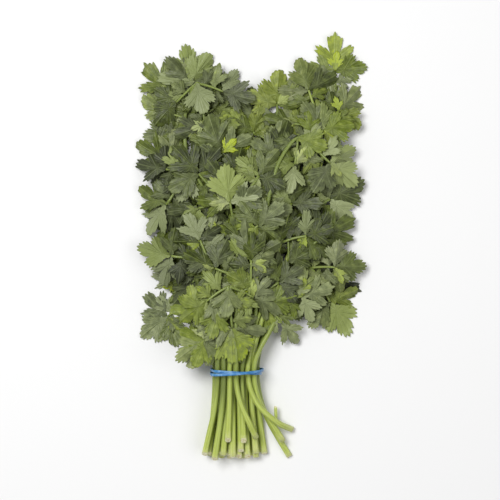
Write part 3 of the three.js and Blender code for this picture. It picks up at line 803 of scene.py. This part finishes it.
def leaf_blade(name, greens, pale):
    """Waxy parsley leaf. greens run from dark to young leaflets, and pale is the underside."""
    material, shader, node = surface(name, ior=1.45, roughness=0.46)
    grain = node("Attribute", output="Vector", attribute_name="grain")
    tone = node("Attribute", output="Fac", attribute_name="tone")
    under = node("Attribute", output="Fac", attribute_name="under")
    along_rib, across_rib = (node("SeparateXYZ", {0: grain}, output=axis) for axis in (0, 1))
    angle = node("Math", {0: across_rib, 1: along_rib}, operation="ARCTAN2")
    far = node("VectorMath", {0: grain}, output="Value", operation="LENGTH")

    fine = vein_share(node, angle, far, VEIN_STEP, 0.4)
    fine = node("Math", {0: fine, 1: 0.4}, operation="MULTIPLY")
    ribs = vein_share(node, angle, far, RIB_STEP, 0.7)
    vein = node("Math", {0: fine, 1: ribs}, operation="MAXIMUM")

    # Mottling in patches of about 5 mm, and fibres that fan out with the veins.
    mottle = node("TexNoise", {"Vector": grain, "Scale": 0.22, "Detail": 4.0, "Roughness": 0.6})
    fan_x = node("Math", {0: angle, 1: 6.0}, operation="MULTIPLY")
    fan_y = node("Math", {0: far, 1: 0.12}, operation="MULTIPLY")
    fanned = node("CombineXYZ", {0: fan_x, 1: fan_y})
    fibre = node("TexNoise", {"Vector": fanned, "Scale": 1.0, "Detail": 3.0, "Roughness": 0.6})

    # Shade and relief are sums of parts, each with a weight. The last part of the shade only
    # brings it back to between 0 and 1.
    shade, relief = tone, 0.0
    # The far part makes each leaflet paler towards its edges: partly its own paler margin, partly
    # painted light where light shines through the thin edge, with painted shade at its base and
    # middle.
    for part, weight in ((mottle, 1.1), (fibre, 0.7), (far, 0.012), (1.0, -0.97)):
        shade = node("Math", {0: part, 1: weight, 2: shade}, operation="MULTIPLY_ADD")
    for part, weight in ((mottle, 0.8), (fibre, 1.0), (vein, -0.5)):
        relief = node("Math", {0: part, 1: weight, 2: relief}, operation="MULTIPLY_ADD")
    colour = node("ValToRGB", {0: shade}, stops=zip((0, 0.4, 0.8, 1), greens))
    for part, weight in ((vein, 0.3), (under, 0.75)):
        share = node("Math", {0: part, 1: weight}, operation="MULTIPLY")
        colour = node("Mix", {0: share, 6: colour, 7: linear(pale)}, output=2, data_type="RGBA")
    # Every leaflet has one tone of its own, so a quick wave over the tones is dull on some
    # leaflets and vivid on others.
    turn = node("Math", {0: tone, 1: 104.0}, operation="MULTIPLY")
    wave = node("Math", {0: turn}, operation="SINE")
    vivid = node("Math", {0: wave, 1: 0.2, 2: 1.0}, operation="MULTIPLY_ADD")
    node("HueSaturation", {"Saturation": vivid, "Color": colour}, to=shader["Base Color"])
    node("Bump", {"Height": relief, "Strength": 0.8, "Distance": 0.7 * MM}, to=shader["Normal"])
    return material


GREENS = {  # from dark to young leaflets, and last the underside
    "leaf_deep_green": ("deep", "#2c3316", "#545e2e", "#7b864b", "#94a24c", "#87925c"),
    "leaf_green": ("mid", "#323a19", "#5d6833", "#868f52", "#9caa50", "#8f9a62"),
    "leaf_light_green": ("light", "#39421c", "#677338", "#929d5a", "#a6b354", "#99a46a"),
}
LEAF_FINISH = {
    slot: leaf_blade(f"waxy leaf, {shade} green", greens, pale)
    for slot, (shade, *greens, pale) in GREENS.items()
}
print(len(LEAF_FINISH), "greens of leaf")

# %% [markdown]
# A parsley stalk is juicy under a smooth skin. Light goes a little way into it and softens its dark
# side, so the shader gets some subsurface scattering. Fine streaks run along it. They could be
# modelled, but a noise texture that is stretched along the stalk shows them as well: the third
# number of the grain attribute is the distance from the cut end.

# %% Stalk skin and cut end
def stalk_skin():
    """Juicy stalk under a smooth skin: yellow-green near the cut, greener towards the leaves."""
    material, shader, node = surface("smooth stalk skin", ior=1.4, roughness=0.38)
    shader["Subsurface Weight"].default_value = 0.5
    shader["Subsurface Radius"].default_value = (1.0, 1.0, 0.4)
    shader["Subsurface Scale"].default_value = 1.5 * MM
    grain = node("Attribute", output="Vector", attribute_name="grain")
    tone = node("Attribute", output="Fac", attribute_name="tone")
    # Streaks about a millimetre wide that run along the stalk for some 30 mm.
    drawn_out = node("Mapping", {"Vector": grain, "Scale": (1.1, 1.1, 0.035)})
    streak = node("TexNoise", {"Vector": drawn_out, "Scale": 1.0, "Detail": 3.0, "Roughness": 0.55})
    places = (0, 0.06, 0.4, 0.8)
    skin = zip(places, ("#bcc474", "#a5b350", "#96a54c", "#6f7d3c"))
    streaks = zip(places, ("#dcdda6", "#c5d078", "#b6c46c", "#84924e"))
    base, light = (node("ValToRGB", {0: tone}, stops=stops) for stops in (skin, streaks))
    share = node("MapRange", {0: streak, 1: 0.38, 2: 0.66})
    node("Mix", {0: share, 6: base, 7: light}, output=2, to=shader["Base Color"], data_type="RGBA")
    node("Bump", {"Height": streak, "Strength": 0.35, "Distance": 0.4 * MM}, to=shader["Normal"])
    return material


def cut_pith():
    """The knife's face across a stalk: pale, wet pith with a little browning."""
    material, shader, node = surface("cut pith", ior=1.36, roughness=0.3)
    place = node("TexCoord", output="Object")
    spots = node("TexNoise", {"Vector": place, "Scale": 1 / (1.2 * MM), "Detail": 2.0})
    stops = zip((0.35, 0.5, 0.7), ("#c2ad77", "#dcd9ac", "#ecedcb"))
    node("ValToRGB", {0: spots}, stops=stops, to=shader["Base Color"])
    return material


STALK_SKIN = stalk_skin()
CUT_PITH = cut_pith()
print(len(bpy.data.materials), "materials")

# %% [markdown]
# ## Build the stems
#
# Each stem is one piece and stands for one plain node. A real leaf has more leaflets than the plain
# one: small ones along every branch, one over the fork, and pale young ones where the sprays part.
# They could be scattered over the bunch, but then some would hang in the air. So each of them has
# its root on a branch. About one leaflet in eight lies on its face and shows its pale underside.

# %% Leaflets along the branches
FLIPPED_SHARE = 0.12
LENGTHS = {"over fork": (19, 24), "along": (12, 19), "young": (10, 15)}
PALEST = {"plain": 0.7, "over fork": 0.6, "along": 0.75}  # the highest tone of each kind
ABOVE_FORK = 2.8  # how far the leaflet over a fork springs above it
STEEPEST = 0.2  # slope of the leaflet over a fork
ALONG = ((-1, 0.15), (1, 0.2), (-1, 0.6), (1, 0.55))  # the side and the nearest share of a branch
YOUNG_SHARE = 0.7  # of the sprays have a young leaflet


def loose_leaflet(root, degrees, length, slope):
    """A leaflet that springs from a branch."""
    return {
        "hub": root,
        "turn": math.radians(degrees),
        "length": length,
        "pitch": slope,
        "roll": rng.uniform(-0.2, 0.2),
        "fold": 0,
        "droop": rng.uniform(0, 0.3),
        "flipped": rng.random() < FLIPPED_SHARE,
    }


def add_loose(bm, stem, tone):
    """Adds a leaflet over the fork, four along every branch and young ones at most hubs."""
    joints, fork = stem["joints"], stem["fork"]
    ways = joints[[fork - 1, *range(fork + 1, len(joints))], :3] - joints[fork, :3]
    slope = min((ways[:, 2] / np.hypot(ways[:, 0], ways[:, 1])).max(), STEEPEST)
    root = joints[fork] + [0, 0, ABOVE_FORK, 0]
    degrees = stem["angles"][-1] + rng.uniform(-15, 15)
    leaflet = loose_leaflet(root, degrees, rng.uniform(*LENGTHS["over fork"]), slope)
    blank = BROAD[rng.integers(3)]
    over_tone = min(tone + rng.uniform(-0.1, 0.3), PALEST["over fork"])
    add_leaflet(bm, blank, {**leaflet, "droop": 0}, over_tone)
    for hub, angle in zip(joints[fork + 1 :], stem["angles"]):
        for side, nearest in ALONG:
            root = joints[fork] + (hub - joints[fork]) * rng.uniform(nearest, nearest + 0.3)
            degrees = angle + side * rng.uniform(50, 100)
            length, slope = rng.uniform(*LENGTHS["along"]), rng.uniform(-0.15, 0.15)
            leaflet = loose_leaflet(root, degrees, length, slope)
            blank = SMALL[rng.integers(3)]
            add_leaflet(bm, blank, leaflet, min(tone + rng.uniform(-0.2, 0.35), PALEST["along"]))
        if rng.random() < YOUNG_SHARE:
            degrees = angle + rng.uniform(-180, 180)
            length, slope = rng.uniform(*LENGTHS["young"]), rng.uniform(0, 0.25)
            leaflet = loose_leaflet(hub, degrees, length, slope)
            add_leaflet(bm, YOUNG[rng.integers(3)], leaflet, tone + rng.uniform(0.3, 0.9))


print("further leaflets, in mm:", LENGTHS)

# %% [markdown]
# Three stems carry a fuller middle spray than the plain ones do: one at the far end of the bunch,
# and two whose leaves lie over their own stalks, just above the band. Those leaflets must not reach
# under the band, so each gets the length that is left in its direction.

# %% Fuller sprays
FULLER_SPRAYS = {  # the headings of further leaflets, in degrees from the spray's own
    "leafy_stem_03": (-36, 38),
    "leafy_stem_29": (-34, 34, 0),
    "leafy_stem_30": (-16, 34, 8),
}
FAN_LENGTH = 25
ABOVE_STALKS = 5  # height of a fan's tips over the middle of the stalk
JOINT_ABOVE_BAND = TAIL_PIECES + 1
TONE_TURN = 220  # degrees over which a fan gets a whole tone paler


def add_fan(bm, stem, tone, turns):
    """Fills a stem's middle spray. Over its own stalks, the leaflets stop short of the band."""
    joints, degrees = stem["joints"], stem["angles"][-1]
    hub = joints[-1]
    above_stalk = joints[JOINT_ABOVE_BAND][2] + ABOVE_STALKS
    for turn in turns:
        down = max(-heading(degrees + turn)[1], 0.01)
        length = min(FAN_LENGTH, (hub[1] - BAND_ZONE) / down)
        slope = min(max((above_stalk - hub[2]) / length, -STEEPEST), STEEPEST)
        leaflet = {**loose_leaflet(hub, degrees + turn, length, slope), "droop": 0, "roll": 0}
        add_leaflet(bm, BROAD[rng.integers(3)], leaflet, tone + turn / TONE_TURN)


print("fuller sprays on", len(FULLER_SPRAYS), "stems")

# %% Put each stem together
def as_object(bm, name, *materials):
    """Puts a finished mesh into the scene as an object with these finishes."""
    mesh = bpy.data.meshes.new(name)
    bm.to_mesh(mesh)
    bm.free()
    for material in materials:
        mesh.materials.append(material)
    made = bpy.data.objects.new(name, mesh)
    bpy.context.scene.collection.objects.link(made)
    return made


def place_tone(x, y):
    """The tone of leaves at a place: paler by the band, in the low corners and at the far end."""
    by_the_band = 1.95 * max(0, 1 - y / 75) * max(0, 1 - abs(x) / 45)
    low_corners = 1.1 * max(0, abs(x) / 30 - 1) * max(0, 1 - y / 90)
    far_end = 0.25 * max(0, y / 70 - 1.8)
    return 0.11 + by_the_band + low_corners + far_end


def build_stem(stem):
    """Makes a stem's piece, named after its node, with the leaf finish of the node's slot, hides
    the plain node and attaches the piece to the root body.
    """
    bm = bmesh.new()
    bm.verts.layers.float.new("tone")
    bm.verts.layers.float.new("under")
    bm.verts.layers.float_vector.new("grain")
    add_stalks(bm, stem)
    x, y, _ = np.mean([leaflet["hub"][:3] for leaflet in stem["leaflets"]], axis=0)
    stem_tone = place_tone(x, y) + rng.uniform(-0.1, 0.12)
    for leaflet in stem["leaflets"]:
        leaflet["flipped"] = rng.random() < FLIPPED_SHARE
        tone = min(stem_tone + rng.uniform(-0.25, 0.3), PALEST["plain"])
        add_leaflet(bm, (BROAD + LOBED)[rng.integers(6)], leaflet, tone)
    add_loose(bm, stem, stem_tone)
    if stem["node"] in FULLER_SPRAYS:
        add_fan(bm, stem, stem_tone, FULLER_SPRAYS[stem["node"]])
    slot = SLOT_OF[stem["node"]]
    piece = as_object(bm, "fine_" + stem["node"], LEAF_FINISH[slot], STALK_SKIN, CUT_PITH)
    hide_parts(stem["node"])
    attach(piece, "root")
    return piece


pieces = [build_stem(stem) for stem in stems]
print(sum(len(piece.data.polygons) for piece in pieces), "faces on", len(pieces), "stems")

# %% [markdown]
# ## The elastic band
#
# The band is a flat rubber strand wound twice round the stalks. The plain band already runs where
# it should, so a copy of it is rounded: its triangles are paired into quads, its long corners are
# bevelled and the whole is smoothed.

# %% Round the band
LONG_EDGE = 2.2  # only the strand's long edges are longer than this
ROUNDING = 0.28
ANY_ANGLE = 3.1  # radians: triangles pair up however sharply they meet


def build_band():
    """Makes the rounded band from the plain one."""
    bm = bmesh.new()
    bm.from_mesh(frame["nodes"]["elastic_band"].data)
    bmesh.ops.remove_doubles(bm, verts=bm.verts, dist=0.001 * MM)
    bmesh.ops.join_triangles(bm, faces=bm.faces, angle_face_threshold=ANY_ANGLE,
                             angle_shape_threshold=ANY_ANGLE)
    long_edges = [edge for edge in bm.edges if edge.calc_length() > LONG_EDGE * MM]
    bmesh.ops.bevel(bm, geom=long_edges, offset=ROUNDING * MM, segments=2, profile=0.5,
                    affect="EDGES", material=-1)
    for face in bm.faces:
        face.smooth = True
    piece = as_object(bm, "wound_rubber_band")
    smooth = piece.modifiers.new("round", "SUBSURF")
    smooth.levels = smooth.render_levels = 1
    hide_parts("elastic_band")
    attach(piece, "root")
    return piece


def blue_rubber():
    """Moulded natural rubber, dyed blue: a soft sheen and a fine powdery bloom."""
    material, shader, node = surface("blue rubber", ior=1.52, roughness=0.42)
    place = node("TexCoord", output="Object")
    bloom = node("TexNoise", {"Vector": place, "Scale": 1 / (3 * MM), "Detail": 5.0})
    stops = zip((0.35, 0.52, 0.7), ("#246aa6", "#3f80b8", "#7aa4cb"))
    node("ValToRGB", {0: bloom}, stops=stops, to=shader["Base Color"])
    node("Bump", {"Height": bloom, "Strength": 0.2, "Distance": 0.2 * MM}, to=shader["Normal"])
    return material


band = build_band()
band.data.materials.append(blue_rubber())
print(len(band.data.polygons), "faces on the band before smoothing")

# %% [markdown]
# ## Table, light and camera
#
# The bunch lies on a plain pale table under a soft studio light, and the camera looks straight
# down on it from a little over a metre.

# %% Table
TABLE_HALF = 1.5
bm = bmesh.new()
bmesh.ops.create_grid(bm, x_segments=1, y_segments=1, size=TABLE_HALF)
# Matt paint spreads the light evenly, so the table shows no glare.
paint, shader, _ = surface("matt white paint", ior=1.5, roughness=0.9)
shader["Base Color"].default_value = linear("#ececec")
table = as_object(bm, "table", paint)
table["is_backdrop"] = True
print("the table is", 2 * TABLE_HALF, "m wide")

# %% Light
scene = bpy.context.scene
scene.view_settings.view_transform = "Standard"
scene.world = bpy.data.worlds.new("studio")
scene.world.use_nodes = True
sky = scene.world.node_tree.nodes["Background"]
sky.inputs["Color"].default_value = (1, 1, 1, 1)
sky.inputs["Strength"].default_value = 0.34


def softbox(name, place, size, power):
    """A square lamp that faces the middle of the bunch."""
    lamp = bpy.data.lights.new(name, "AREA")
    lamp.size, lamp.energy = size, power
    box = bpy.data.objects.new(name, lamp)
    box.location = place
    box.rotation_euler = Vector(place).to_track_quat("Z", "Y").to_euler()
    scene.collection.objects.link(box)


softbox("key", (-0.4, 0.35, 1.2), 0.55, 14)
softbox("fill", (0.8, -0.3, 1.2), 1.0, 4.5)
print(len(bpy.data.lights), "lamps, of", [lamp.energy for lamp in bpy.data.lights], "W")

# %% Camera
VIEW_CENTRE = (-0.7 * MM, -3.0 * MM)
VIEW_WIDTH = 350 * MM
CAMERA_HEIGHT = 1.2
MIDDLE_HEIGHT = 18 * MM
camera = bpy.data.cameras.new("camera")
camera.sensor_width = 36
camera.lens = camera.sensor_width * (CAMERA_HEIGHT - MIDDLE_HEIGHT) / VIEW_WIDTH
scene.camera = bpy.data.objects.new("camera", camera)
scene.camera.location = (*VIEW_CENTRE, CAMERA_HEIGHT)
scene.collection.objects.link(scene.camera)
print("a lens of", round(camera.lens), "mm at", CAMERA_HEIGHT, "m")

# %% Measure the finished bunch
visual_box = [list(corner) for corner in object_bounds()]
visual_size = [round((high - low) / MM, 1) for low, high in zip(*visual_box)]
print("the finished bunch measures", visual_size, "mm")
